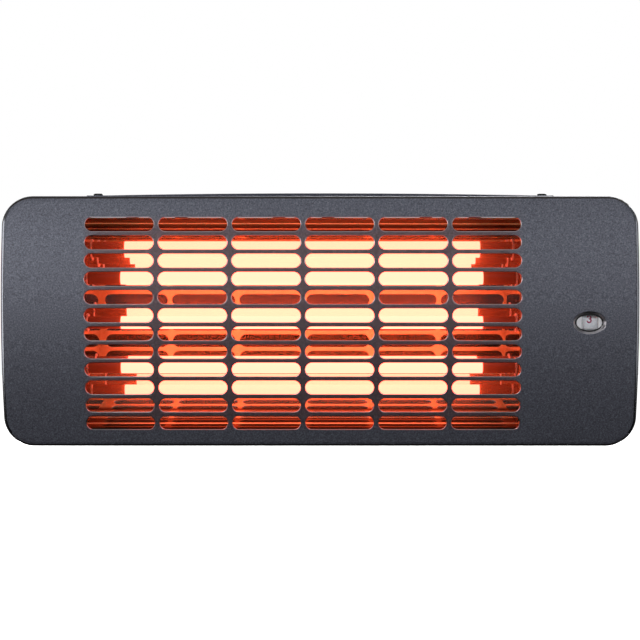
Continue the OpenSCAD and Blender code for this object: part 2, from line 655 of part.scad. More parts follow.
// Mains entry: block, gland and clamp. No mains lead is fitted
module terminal_block() color([0.92, 0.92, 0.88]) difference() {
  block(block_x, [shell_in_y - block_d, shell_in_y], block_z);
  for (i = [0:2]) {
    x = (block_x[0] + block_x[1]) / 2 + (i - 1) * block_way;
    rod_z(2.2, block_z[0] - cut, block_z[1] + cut, x, shell_in_y - block_d + 5);
    rod_y(2, shell_in_y - block_d - cut, shell_in_y - block_d + 5, x, block_mid_z);
  }
  for (x = block_screw_xs)
    rod_y(small_r + fit, shell_in_y - block_d - cut, shell_in_y + cut, x, block_mid_z);
}
module terminal_block_screws() color([0.7, 0.7, 0.72]) for (x = block_screw_xs) {
  rod_y(small_r, shell_in_y - block_d - fuse, shell_back_y + 1, x, block_mid_z);
  rod_y(small_head_r, shell_in_y - block_d - small_head_h, shell_in_y - block_d, x, block_mid_z);
}
module cable_gland() color([0.1, 0.1, 0.11]) difference() {
  union() {
    rod_y(gland_r, shell_in_y - 7, shell_back_y + fuse, gland_x, gland_z);
    rod_y(gland_flange_r, shell_back_y, shell_back_y + 5, gland_x, gland_z);
    rod_y(gland_r - fuse, shell_back_y + 4.5, shell_back_y + 13, gland_x, gland_z);
  }
  rod_y(gland_bore_r, shell_in_y - 9, shell_back_y + 15, gland_x, gland_z);
}
module gland_nut() color([0.12, 0.12, 0.13]) difference() {
  translate([gland_x, shell_in_y, gland_z]) rotate([90, 0, 0])
    cylinder(r = gland_flange_r, h = 4, $fn = 6);
  rod_y(gland_r + fit, shell_in_y - 6, shell_in_y + cut, gland_x, gland_z);
}
module cord_clamp() color([0.9, 0.9, 0.88]) difference() {
  block([clamp_screw_xs[0] - 4, clamp_screw_xs[1] + 4], [clamp_y - clamp_t, clamp_y],
    [clamp_z - 4, clamp_z + 4]);
  for (x = clamp_screw_xs) rod_y(small_r + fit, clamp_y - clamp_t - cut, clamp_y + cut, x, clamp_z);
}
module cord_clamp_screws() color([0.7, 0.7, 0.72]) for (x = clamp_screw_xs) {
  rod_y(small_r, clamp_y - clamp_t - fuse, shell_back_y + 1, x, clamp_z);
  rod_y(small_head_r, clamp_y - clamp_t - small_head_h, clamp_y - clamp_t, x, clamp_z);
}
module earth_screw() color([0.75, 0.73, 0.6]) {
  rod_y(earth_r, shell_in_y - 4, shell_back_y + 1.5, earth_x, earth_z);
  rod_y(earth_head_r, shell_in_y - 6, shell_in_y - plate_t, earth_x, earth_z);
}
module earth_lead() color([0.45, 0.6, 0.2])
  lead([[earth_x + earth_head_r + joined, shell_in_y - 4, earth_z], [earth_x + 6, shell_in_y - 4.5, earth_z],
    [block_x[0] - 4, shell_in_y - 5, earth_z], [block_x[0] - joined, shell_in_y - 5, earth_z]], lead_r, 3);

// Tilt bracket
module u_strip(w, h, y0, y1, out_x, end_y) {
  block([-w / 2, w / 2], [y0, y1], [-h / 2, h / 2]);
  for (s = [-1, 1]) {
    x = s > 0 ? [out_x - bracket_t, out_x] : [-out_x, bracket_t - out_x];
    block(x, [min(end_y, y0), max(end_y, y1)], [-arm_r, arm_r]);
    rod_x(arm_r, x[0], x[1], end_y, 0);
  }
}
module wall_bracket() color([0.2, 0.2, 0.22]) difference() {
  u_strip(bracket_w, bracket_h, -bracket_t, 0, bracket_w / 2, -pivot_y);
  for (s = [-1, 1]) slot_y(wall_slot_l, wall_hole_d, -bracket_t - cut, cut, s * wall_hole_pitch / 2, 0);
  rod_x(pivot_r + fit, -bracket_w, bracket_w, -pivot_y, 0);
}
module hanger_bracket() color([0.2, 0.2, 0.22]) difference() {
  u_strip(2 * ear_out_x, bracket_h, shell_back_y, shell_back_y + bracket_t, ear_out_x, -pivot_y);
  rod_x(pivot_r + fit, -bracket_w, bracket_w, -pivot_y, 0);
  for (sx = [-1, 1], sz = [-1, 1])
    rod_y(hanger_rivet_r + fit, shell_back_y - cut, shell_back_y + bracket_t + cut,
      sx * hanger_rivet_x, sz * hanger_rivet_z);
}
module hanger_rivets() color([0.6, 0.6, 0.62]) for (sx = [-1, 1], sz = [-1, 1]) {
  x = sx * hanger_rivet_x;
  z = sz * hanger_rivet_z;
  rod_y(hanger_rivet_r, shell_in_y - fuse, shell_back_y + bracket_t + fuse, x, z);
  rod_y(2 * hanger_rivet_r, shell_in_y - plate_t, shell_in_y, x, z);
  rod_y(2 * hanger_rivet_r, shell_back_y + bracket_t, shell_back_y + bracket_t + plate_t, x, z);
}
module friction_washers() color([0.5, 0.35, 0.25]) for (s = [-1, 1]) difference() {
  x = s > 0 ? [ear_out_x, ear_out_x + washer_t] : [-ear_out_x - washer_t, -ear_out_x];
  rod_x(washer_r, x[0], x[1], -pivot_y, 0);
  rod_x(pivot_r + 0.2, x[0] - cut, x[1] + cut, -pivot_y, 0);
}
module weld_nuts() color([0.6, 0.6, 0.62]) for (s = [-1, 1]) difference() {
  x = ear_out_x - bracket_t;
  translate([s > 0 ? x - weld_nut_h : -x, 0, 0]) hex_x(weld_nut_r, 0, weld_nut_h, -pivot_y, 0);
  rod_x(pivot_r + fit, -bracket_w, bracket_w, -pivot_y, 0);
}
module knob() {
  x = bracket_w / 2 + loose;
  difference() {
    union() {
      rod_x(knob_d / 2, x + 3, x + knob_l, -pivot_y, 0);
      rod_x(knob_d / 3, x, x + 4, -pivot_y, 0);
    }
    rod_x(pivot_r + fit, x - cut, x + knob_l - 3, -pivot_y, 0);
    for (a = [0:60:300]) translate([0, -pivot_y, 0]) rotate([a, 0, 0])
      rod_x(knob_d / 7, x - cut, x + knob_l + cut, 0, knob_d / 2 + knob_d / 24);
  }
}
module clamp_knob_right() color([0.1, 0.1, 0.11]) knob();
module clamp_knob_left() color([0.1, 0.1, 0.11]) mirror([1, 0, 0]) knob();
module stud() rod_x(pivot_r, stud_tip_x, bracket_w / 2 + loose + knob_l - 3, -pivot_y, 0);
module clamp_stud_right() color([0.7, 0.7, 0.72]) stud();
module clamp_stud_left() color([0.7, 0.7, 0.72]) mirror([1, 0, 0]) stud();

wall_bracket();
hanger_bracket();
hanger_rivets();
friction_washers();
weld_nuts();
clamp_knob_left();
clamp_knob_right();
clamp_stud_left();
clamp_stud_right();
front_cover();
cover_screws();
top_strip();
rear_shell();
window_lens();
lens_retainer();
reflector();
left_end_plate();
right_end_plate();
end_plate_screws();
quartz_tube_top();
quartz_tube_middle();
quartz_tube_bottom();
heating_coil_top();
heating_coil_middle();
heating_coil_bottom();
left_end_caps();
right_end_caps();
left_terminal_studs();
right_terminal_studs();
left_terminal_nuts();
right_terminal_nuts();
neutral_busbar();
live_tags();
live_lead_top();
live_lead_middle();
live_lead_bottom();
neutral_lead();
thermal_cutout();
switch_body();
switch_bracket();
switch_screw();
switch_shaft();
indicator_drum();
pull_lever();
cord_eyelet();
terminal_block();
terminal_block_screws();
cable_gland();
gland_nut();
cord_clamp();
cord_clamp_screws();
earth_screw();
earth_lead();
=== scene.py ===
import json
import math

import bmesh
import bpy
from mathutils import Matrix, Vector


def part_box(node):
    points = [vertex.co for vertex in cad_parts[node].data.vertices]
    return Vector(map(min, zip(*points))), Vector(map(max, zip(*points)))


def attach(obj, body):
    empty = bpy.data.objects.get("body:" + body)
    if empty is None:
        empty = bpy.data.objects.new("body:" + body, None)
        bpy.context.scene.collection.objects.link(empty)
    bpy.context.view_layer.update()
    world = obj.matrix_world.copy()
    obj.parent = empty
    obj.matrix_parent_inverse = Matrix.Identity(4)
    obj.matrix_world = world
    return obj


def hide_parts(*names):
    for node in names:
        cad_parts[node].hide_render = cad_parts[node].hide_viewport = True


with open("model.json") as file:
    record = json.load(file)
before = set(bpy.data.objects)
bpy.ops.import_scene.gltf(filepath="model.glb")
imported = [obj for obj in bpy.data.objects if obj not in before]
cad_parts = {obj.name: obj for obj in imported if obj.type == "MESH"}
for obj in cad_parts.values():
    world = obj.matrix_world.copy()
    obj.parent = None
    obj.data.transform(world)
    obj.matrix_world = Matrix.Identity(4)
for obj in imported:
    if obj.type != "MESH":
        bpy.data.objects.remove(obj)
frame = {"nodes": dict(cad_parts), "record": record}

bl_info = {
    "name": "Electric bar heater",
    "version": (1, 0, 0),
    "blender": (4, 5, 0),
    "location": "3D View > Sidebar > Heater",
    "description": "Models and paints a wall-mounted heater with three quartz tubes",
    "category": "Add Mesh",
}

MM = 0.001
COVER_LOW, COVER_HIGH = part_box("front_cover")
STRIP_LOW, STRIP_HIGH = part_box("top_strip")
DRUM_LOW, DRUM_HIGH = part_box("indicator_drum")

# Coordinates closer than this count as the same, in metres
SAME = 2e-6
# Edges sharper than the first are rounded, and those gentler than the second shaded smooth
SHARP_ANGLE = math.radians(50)
SMOOTH_ANGLE = math.radians(35)


# Sizes and colours that a user would change

def length(name, description, millimetres, low=0.0):
    return bpy.props.FloatProperty(
        name=name, description=description, default=millimetres * MM, min=low * MM,
        unit="LENGTH", precision=5)


def colour(name, description, hex_value):
    return bpy.props.StringProperty(name=name, description=description, default=hex_value)


class HeaterSizes(bpy.types.PropertyGroup):
    corner_radius: length("Corner radius", "Radius of the cover's outline at its corners", 23.5)
    bow_radius: length("Bow radius", "Radius of the face's bow, seen from the side", 380)
    edge_radius: length("Front edge", "Rounding of the cover's front edge", 4)
    cover_thickness: length("Cover sheet", "Sheet thickness of the cover", 1.2)
    slot_length: length("Slot length", "Length of a grille slot", 54)
    slot_height: length("Slot height", "Height of a grille slot", 10.9)
    slot_pitch_x: length("Column pitch", "Distance between slot centres along a row", 57.8)
    slot_pitch_z: length("Row pitch", "Distance between slot rows", 14.27)
    grille_x: length("Grille sideways", "Sideways place of the grille's middle", -13.5, -100)
    grille_z: length("Grille height", "Height of the grille's middle", -1.3, -100)
    slot_columns: bpy.props.IntProperty(
        name="Columns", description="Columns of slots", default=6, min=1)
    slot_rows: bpy.props.IntProperty(
        name="Rows", description="Rows of slots", default=12, min=1)
    lip_radius: length("Slot lip", "Rounding of the edges of the slots", 0.58)
    window_x: length("Window sideways", "Sideways place of the window", 211.4)
    window_length: length("Window length", "Length of the window opening", 20)
    window_height: length("Window height", "Height of the window opening", 11.6)
    dimple_border: length("Dimple border", "Width of the pressed border of the window", 3)
    dimple_depth: length("Dimple depth", "Depth of the pressed border", 2)
    screw_x: length("Screw place", "Distance of the cover screws from the middle", 178)
    screw_back: length("Screw depth", "Distance of the cover screws behind the rim's front", 20)
    screw_head: length("Screw head", "Head diameter of the cover screws", 7.8)
    screw_head_height: length("Screw head height", "Head height of the cover screws", 1.7)
    strip_thickness: length("Strip sheet", "Sheet thickness of the top strip", 0.8)
    digit_height: length("Digit height", "Height of the digits on the drum", 4.9)


class HeaterColours(bpy.types.PropertyGroup):
    paint: colour("Cover paint", "Graphite metallic paint of the cover", "#5B5D68")
    paint_fleck: colour("Paint fleck", "Light flecks in the paint", "#787B87")
    paint_pit: colour("Paint pit", "Dark pits in the paint", "#46474F")
    shell: colour("Shell paint", "Plain dark paint of the rear shell", "#4A4C52")
    digit: colour("Digits", "Ink of the digits on the drum", "#A81650")


def sizes():
    return bpy.context.scene.heater_sizes


def colours():
    return bpy.context.scene.heater_colours


# Modelling tools

def only(piece):
    """Selects this piece alone and makes it active."""
    bpy.ops.object.select_all(action="DESELECT")
    piece.select_set(True)
    bpy.context.view_layer.objects.active = piece


def settle(piece, name=None):
    """Moves the piece's place, turn and scale into its mesh."""
    only(piece)
    bpy.ops.object.transform_apply(location=True, rotation=True, scale=True)
    if name:
        piece.name = name
        piece.data.name = name
    return piece


def block(name, low, high):
    low, high = Vector(low), Vector(high)
    bpy.ops.object.select_all(action="DESELECT")
    bpy.ops.mesh.primitive_cube_add(size=1, location=(low + high) / 2)
    piece = bpy.context.object
    piece.scale = high - low
    return settle(piece, name)


def rod(name, radius, start, end, sides=48):
    start, end = Vector(start), Vector(end)
    bpy.ops.object.select_all(action="DESELECT")
    bpy.ops.mesh.primitive_cylinder_add(
        vertices=sides, radius=radius, depth=(end - start).length, location=(start + end) / 2)
    piece = bpy.context.object
    piece.rotation_mode = "QUATERNION"
    piece.rotation_quaternion = (end - start).to_track_quat("Z", "Y")
    return settle(piece, name)


def pick(piece, kind, test):
    """Opens the piece for editing, with only what passes the test selected.

    kind is VERT, EDGE or FACE."""
    only(piece)
    bpy.ops.object.mode_set(mode="EDIT")
    bpy.ops.mesh.select_mode(type=kind)
    bpy.ops.mesh.select_all(action="DESELECT")
    mesh = bmesh.from_edit_mesh(piece.data)
    parts = {"VERT": mesh.verts, "EDGE": mesh.edges, "FACE": mesh.faces}[kind]
    for part in [part for part in parts if test(part)]:
        part.select_set(True)
    mesh.select_flush_mode()
    bmesh.update_edit_mesh(piece.data)


def close():
    bpy.ops.object.mode_set(mode="OBJECT")


def along(edge, axis):
    """True if the edge runs along an axis, 0 to 2."""
    run = edge.verts[1].co - edge.verts[0].co
    return run.length > 1e-7 and abs(run[axis]) > 0.999 * run.length


def tidy(piece, distance=0.01 * MM):
    """Merges doubled vertices and points every face outwards."""
    pick(piece, "VERT", lambda vertex: True)
    bpy.ops.mesh.remove_doubles(threshold=distance)
    bpy.ops.mesh.select_all(action="SELECT")
    bpy.ops.mesh.normals_make_consistent(inside=False)
    close()


def modify(piece, kind, **settings):
    modifier = piece.modifiers.new(kind.title(), kind)
    for key, value in settings.items():
        setattr(modifier, key, value)
    only(piece)
    bpy.ops.object.modifier_apply(modifier=modifier.name)


def combine(piece, other, operation="DIFFERENCE"):
    """Cuts the other piece from this one, or adds it with UNION."""
    modify(piece, "BOOLEAN", object=other, operation=operation, solver="EXACT")
    bpy.data.objects.remove(other)


def rounded(piece, width, segments=2):
    """Rounds the sharp edges, then shades the gentle ones smooth."""
    modify(
        piece, "BEVEL", width=width, segments=segments, limit_method="ANGLE",
        angle_limit=SHARP_ANGLE, use_clamp_overlap=False, harden_normals=False)
    only(piece)
    bpy.ops.object.shade_smooth_by_angle(angle=SMOOTH_ANGLE)


def cut_levels(piece, axis, places):
    """Cuts the piece's faces at places along an axis, 0 to 2, and takes nothing away."""
    for place in places:
        point = [0, 0, 0]
        normal = [0, 0, 0]
        point[axis], normal[axis] = place, 1
        pick(piece, "FACE", lambda face: True)
        bpy.ops.mesh.bisect(plane_co=point, plane_no=normal)
        close()


def step_levels(piece, axis, test, shift):
    """Moves the vertices that pass the test by shift, one level along an axis at a time."""
    levels = {round(v.co[axis], 6) for v in piece.data.vertices if test(v)}
    for level in sorted(levels):
        pick(piece, "VERT", lambda v, level=level: test(v) and abs(v.co[axis] - level) < SAME)
        bpy.ops.transform.translate(value=shift(level))
        close()


def copy(piece, name, move=(0, 0, 0), scale=(1, 1, 1)):
    """A second piece with its own mesh, moved or mirrored."""
    only(piece)
    bpy.ops.object.duplicate(linked=False)
    twin = bpy.context.object
    twin.scale = scale
    twin.location = move
    settle(twin, name)
    if scale[0] * scale[1] * scale[2] < 0:
        tidy(twin)
    return twin


def join(name, pieces):
    bpy.ops.object.select_all(action="DESELECT")
    for piece in pieces:
        piece.select_set(True)
    bpy.context.view_layer.objects.active = pieces[0]
    bpy.ops.object.join()
    return settle(bpy.context.object, name)


def round_slot(name, width, height, y0, y1, x, z):
    """A round-ended bar through y0 to y1."""
    piece = block(name, (x - width / 2, y0, z - height / 2), (x + width / 2, y1, z + height / 2))
    pick(piece, "EDGE", lambda edge: along(edge, 1))
    # A hair less than half the height, so that the ends' two arcs don't cross
    bpy.ops.mesh.bevel(
        offset=height / 2 * 0.9999, segments=10, affect="EDGES", clamp_overlap=False)
    close()
    tidy(piece)
    return piece


def oval(name, width, height, y0, y1, x, z, front=1.0):
    """An oval bar through y0 to y1, its front end larger by the factor front."""
    piece = rod(name, 0.5, (0, y0, 0), (0, y1, 0), 64)
    if front != 1.0:
        pick(piece, "VERT", lambda vertex: vertex.co.y < (y0 + y1) / 2)
        bpy.ops.transform.resize(value=(front, 1, front), center_override=(0, 0, 0))
        close()
    piece.scale = (width, 1, height)
    piece.location = (x, 0, z)
    return settle(piece)


# Materials

def linear(hex_value):
    """sRGB hex to the linear colour that the shader takes."""
    parts = [int(hex_value[i:i + 2], 16) / 255 for i in (1, 3, 5)]
    return tuple(
        p / 12.92 if p <= 0.04045 else ((p + 0.055) / 1.055) ** 2.4 for p in parts) + (1.0,)


def add(tree, kind, inputs=None, **settings):
    """Adds a shader node with its settings, its values and its links."""
    node = tree.nodes.new("ShaderNode" + kind)
    for key, value in settings.items():
        setattr(node, key, value)
    for key, value in (inputs or {}).items():
        if isinstance(value, bpy.types.NodeSocket):
            tree.links.new(value, node.inputs[key])
        else:
            node.inputs[key].default_value = value
    return node


def blank(name):
    """A new material with only its output, which is ready for a surface."""
    material = bpy.data.materials.new(name)
    material.use_nodes = True
    tree = material.node_tree
    tree.nodes.clear()
    return material, tree, add(tree, "OutputMaterial")


def surface(tree, output, shader):
    tree.links.new(shader.outputs[0], output.inputs["Surface"])


def tones(tree, factor, low, high, places=(0.0, 1.0)):
    """A ramp between two linear colours, which stand at two places along the factor."""
    ramp = add(tree, "ValToRGB", {"Fac": factor})
    for stop, place, tone in zip(ramp.color_ramp.elements, places, (low, high)):
        stop.position, stop.color = place, tone
    return ramp


def relief(tree, place, grain, height, detail=1.0, strength=1.0):
    """The normal of a noise relief, its grain and height in millimetres."""
    noise = add(tree, "TexNoise", {
        "Vector": place.outputs["Object"], "Scale": 1 / (grain * MM), "Detail": detail})
    raised = add(tree, "Bump", {
        "Height": noise.outputs["Fac"], "Strength": strength, "Distance": height * MM})
    return raised.outputs["Normal"]


def apart(tree, value, middle):
    """How far a coordinate lies from a middle, on either side."""
    offset = add(tree, "Math", {0: value, 1: middle}, operation="SUBTRACT")
    return add(tree, "Math", {0: offset.outputs["Value"]}, operation="ABSOLUTE").outputs["Value"]


def mottled(name, low, high, grain, roughness, metallic=0.0, bump=0.0, bump_grain=None,
            contrast=(0.35, 0.65)):
    """A finish whose colour runs between two tones in grains of a real size, with a fine relief.

    grain and bump_grain are in millimetres, bump in millimetres of height."""
    material, tree, output = blank(name)
    place = add(tree, "TexCoord")
    noise = add(tree, "TexNoise", {
        "Vector": place.outputs["Object"], "Scale": 1 / (grain * MM), "Detail": 2.0,
        "Roughness": 0.6})
    ramp = tones(tree, noise.outputs["Fac"], linear(low), linear(high), contrast)
    inputs = {"Base Color": ramp.outputs["Color"], "Roughness": roughness, "Metallic": metallic}
    if bump:
        inputs["Normal"] = relief(tree, place, bump_grain or grain, bump)
    surface(tree, output, add(tree, "BsdfPrincipled", inputs))
    return material


def hammered_powder_coat():
    """Graphite hammer-finish powder coat, sprayed and baked on sheet steel.

    Metal flakes give it light flecks about 1 mm across, and its skin dries in shallow pits."""
    material, tree, output = blank("hammered_powder_coat")
    place = add(tree, "TexCoord")
    fleck = add(tree, "TexNoise", {
        "Vector": place.outputs["Object"], "Scale": 1 / (1.1 * MM), "Detail": 2.0,
        "Roughness": 0.7})
    ramp = tones(tree, fleck.outputs["Fac"], linear(colours().paint_pit),
                 linear(colours().paint_fleck), (0.3, 0.72))
    ramp.color_ramp.elements.new(0.5).color = linear(colours().paint)
    # Painted glow: the paint between the slots is tinted red-brown, standing in for the tubes' glow
    # on the bars, and the tint fades out over the last 14 mm
    size = sizes()
    fade = 14 * MM
    painted_glow_tint = (1.0, 0.66, 0.60, 1.0)
    parts = add(tree, "SeparateXYZ", {0: place.outputs["Object"]})
    masks = []
    for axis, middle, reach in (
            ("X", size.grille_x, size.slot_columns / 2 * size.slot_pitch_x),
            ("Z", size.grille_z, size.slot_rows / 2 * size.slot_pitch_z)):
        masks.append(add(tree, "MapRange", {
            "Value": apart(tree, parts.outputs[axis], middle), "From Min": reach - fade,
            "From Max": reach, "To Min": 1.0, "To Max": 0.0}))
    heated = add(tree, "Math", {0: masks[0].outputs["Result"], 1: masks[1].outputs["Result"]},
                 operation="MULTIPLY")
    # The painted glow, multiplied into the paint's colour
    brown = add(tree, "MixRGB", {
        "Fac": heated.outputs["Value"], "Color1": ramp.outputs["Color"],
        "Color2": painted_glow_tint}, blend_type="MULTIPLY")
    paint = add(tree, "BsdfPrincipled", {
        "Base Color": brown.outputs["Color"], "Roughness": 0.5, "Metallic": 0.5,
        "Normal": relief(tree, place, 1.8, 0.05)})
    surface(tree, output, paint)
    return material


def rolled_aluminium():
    """Polished rolled aluminium sheet: a clear mirror under a slight satin haze.

    On its outer slopes the thin sheet is slightly wavy, with dark rolling streaks between
    hazy crests."""
    material, tree, output = blank("polished_rolled_aluminium")
    # The second colour is painted shade: the dark between the painted reflection lines on the
    # slopes
    polished, painted_dark_band = linear("#FFFDFA"), (0.16, 0.08, 0.05, 1.0)
    # The haze's share of the reflection: in the middle, on the slopes, and more on their crests
    middle_haze, slope_haze, crest_haze = 0.115, 0.04, 0.3
    # A band texture of scale 1 repeats every 0.314 of a unit
    crest_pitch = 4.2 * MM
    place = add(tree, "TexCoord")
    parts = add(tree, "SeparateXYZ", {0: place.outputs["Object"]})
    height = add(tree, "Math", {0: parts.outputs["Z"]}, operation="ABSOLUTE")
    # The slopes begin 70 mm above and below the middle of the sheet
    slopes = add(tree, "MapRange", {
        "Value": height.outputs["Value"], "From Min": 69 * MM, "From Max": 71 * MM})
    # The painted reflection lines run along the sheet and wander slowly
    drawn_out = add(tree, "Mapping", {"Vector": place.outputs["Object"], "Scale": (0.06, 1.0, 1.0)})
    bands = add(tree, "TexWave", {
        "Vector": drawn_out.outputs["Vector"], "Scale": 0.314 / crest_pitch, "Distortion": 3.0,
        "Detail": 0.0, "Detail Scale": 0.12}, bands_direction="Z")
    # A crest is only the top of a band
    crest = add(tree, "MapRange", {
        "Value": bands.outputs["Fac"], "From Min": 0.8, "From Max": 0.99})
    slope_crest = add(tree, "Math", {0: crest.outputs["Result"], 1: slopes.outputs["Result"]},
              operation="MULTIPLY")
    base_haze = add(tree, "MapRange", {
        "Value": slopes.outputs["Result"], "To Min": middle_haze, "To Max": slope_haze})
    haziness = add(tree, "Math", {
        0: slope_crest.outputs["Value"], 1: crest_haze, 2: base_haze.outputs["Result"]},
        operation="MULTIPLY_ADD")
    # Painted shade and painted reflections: on the slopes the mirror's colour is dark between the
    # crests and bright on them
    painted_reflection_bands = add(tree, "MixRGB", {
        "Fac": crest.outputs["Result"], "Color1": painted_dark_band, "Color2": polished})
    tone = add(tree, "MixRGB", {
        "Fac": slopes.outputs["Result"], "Color1": polished, "Color2": painted_reflection_bands.outputs["Color"]})
    mirror = add(tree, "BsdfPrincipled", {
        "Base Color": tone.outputs["Color"], "Metallic": 1.0, "Roughness": 0.0})
    haze = add(tree, "BsdfPrincipled", {
        "Base Color": linear("#F4EBB4"), "Metallic": 1.0, "Roughness": 0.5})
    surface(tree, output, add(tree, "MixShader", {
        0: haziness.outputs["Value"], 1: mirror.outputs[0], 2: haze.outputs[0]}))
    return material


def milky_quartz():
    """Drawn milky quartz tube: the coil lights it evenly over its heated length.

    The glow shows pale yellow and casts deep orange. Past the coil the quartz carries a dark
    red light, brightest close to the coil."""
    material, tree, output = blank("milky_fused_quartz")
    place = add(tree, "TexCoord")
    parts = add(tree, "SeparateXYZ", {0: place.outputs["Object"]})
    low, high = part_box("heating_coil_top")
    axis = (low + high) / 2
    # The wound length, without the coil's straight tails
    wound = [v.co.x for v in frame["nodes"]["heating_coil_top"].data.vertices
             if math.hypot(v.co.y - axis.y, v.co.z - axis.z) > 2 * MM]
    coil_low, coil_high = min(wound), max(wound)
    half = (coil_high - coil_low) / 2
    # 0 to 1 over 30 mm outwards, from 1 mm inside the coil's end
    past = add(tree, "MapRange", {
        "Value": apart(tree, parts.outputs["X"], (coil_low + coil_high) / 2),
        "From Min": half - 1 * MM, "From Max": half + 29 * MM})
    # Where along them the glow ends and the cold quartz starts
    glow_end, cold_start = 0.04, 0.06
    glow_tone = (1.0, 0.0966, 0.0623, 1.0)
    glow = tones(tree, past.outputs["Result"], glow_tone, (0.012, 0.0008, 0.0002, 1.0))
    # Past the coil the emission is painted glow, dim red and fading outwards, for the coil's light
    # carried on in the quartz
    for at, tone in ((glow_end, glow_tone), (cold_start, (0.046, 0.0036, 0.0009, 1.0)),
                     (0.22, (0.028, 0.0018, 0.0005, 1.0)), (0.6, (0.018, 0.0011, 0.0003, 1.0))):
        glow.color_ramp.elements.new(at).color = tone
    body = tones(tree, past.outputs["Result"], (0.2, 0.16, 0.12, 1.0), (0.05, 0.03, 0.025, 1.0),
                 (glow_end, cold_start))
    # A camera clips the glow, so what it lights is brighter than the glow looks
    lights, looks = 16.0, 9.3
    ray = add(tree, "LightPath")
    seen = add(tree, "Math", {0: ray.outputs["Is Camera Ray"], 1: ray.outputs["Is Glossy Ray"]},
               operation="MAXIMUM")
    strength = add(tree, "MapRange", {
        "Value": seen.outputs["Value"], "To Min": lights, "To Max": looks})
    surface(tree, output, add(tree, "BsdfPrincipled", {
        "Base Color": body.outputs["Color"], "Roughness": 0.25, "IOR": 1.46,
        "Transmission Weight": 0.0, "Emission Color": glow.outputs["Color"],
        "Emission Strength": strength.outputs["Result"],
        "Normal": relief(tree, place, 4, 0.02, strength=0.3)}))
    return material


def glowing_wire():
    """Coiled resistance wire at red heat, oxidised black where it is cold."""
    material, tree, output = blank("glowing_resistance_wire")
    place = add(tree, "TexCoord")
    turns = add(tree, "TexNoise", {
        "Vector": place.outputs["Object"], "Scale": 1 / (14 * MM), "Detail": 1.0})
    ramp = tones(tree, turns.outputs["Fac"], (1.0, 0.42, 0.16, 1.0), (1.0, 0.5, 0.22, 1.0),
                 (0.3, 0.7))
    surface(tree, output, add(tree, "BsdfPrincipled", {
        "Base Color": linear("#3A3330"), "Roughness": 0.6,
        "Emission Color": ramp.outputs["Color"], "Emission Strength": 1.0}))
    return material


def clear_acrylic():
    """Moulded clear acrylic, silvered behind its rounded ends, and clear over the digit."""
    material, tree, output = blank("moulded_clear_acrylic")
    place = add(tree, "TexCoord")
    plastic = add(tree, "BsdfPrincipled", {
        "Base Color": linear("#F4F6F8"), "Roughness": 0.05, "IOR": 1.49,
        "Transmission Weight": 1.0,
        "Normal": relief(tree, place, 5, 0.03, detail=0.0, strength=0.6)})
    clear = add(tree, "BsdfTransparent", {"Color": (0.96, 0.96, 0.97, 1.0)})
    ray = add(tree, "LightPath")
    mixed = add(tree, "MixShader", {
        0: ray.outputs["Is Shadow Ray"], 1: plastic.outputs[0], 2: clear.outputs[0]})
    low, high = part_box("window_lens")
    # The clear part lies 0.6 mm right of the middle, and the silver fades in over 1.6 mm
    clear_middle = (low.x + high.x) / 2 + 0.6 * MM
    parts = add(tree, "SeparateXYZ", {0: place.outputs["Object"]})
    ends = add(tree, "MapRange", {
        "Value": apart(tree, parts.outputs["X"], clear_middle), "From Min": 5.6 * MM,
        "From Max": 7.2 * MM})
    silver = add(tree, "BsdfPrincipled", {
        "Base Color": linear("#F4F4F8"), "Roughness": 0.3, "Metallic": 0.4})
    surface(tree, output, add(tree, "MixShader", {
        0: ends.outputs["Result"], 1: mixed.outputs[0], 2: silver.outputs[0]}))
    return material


FINISHES = {}


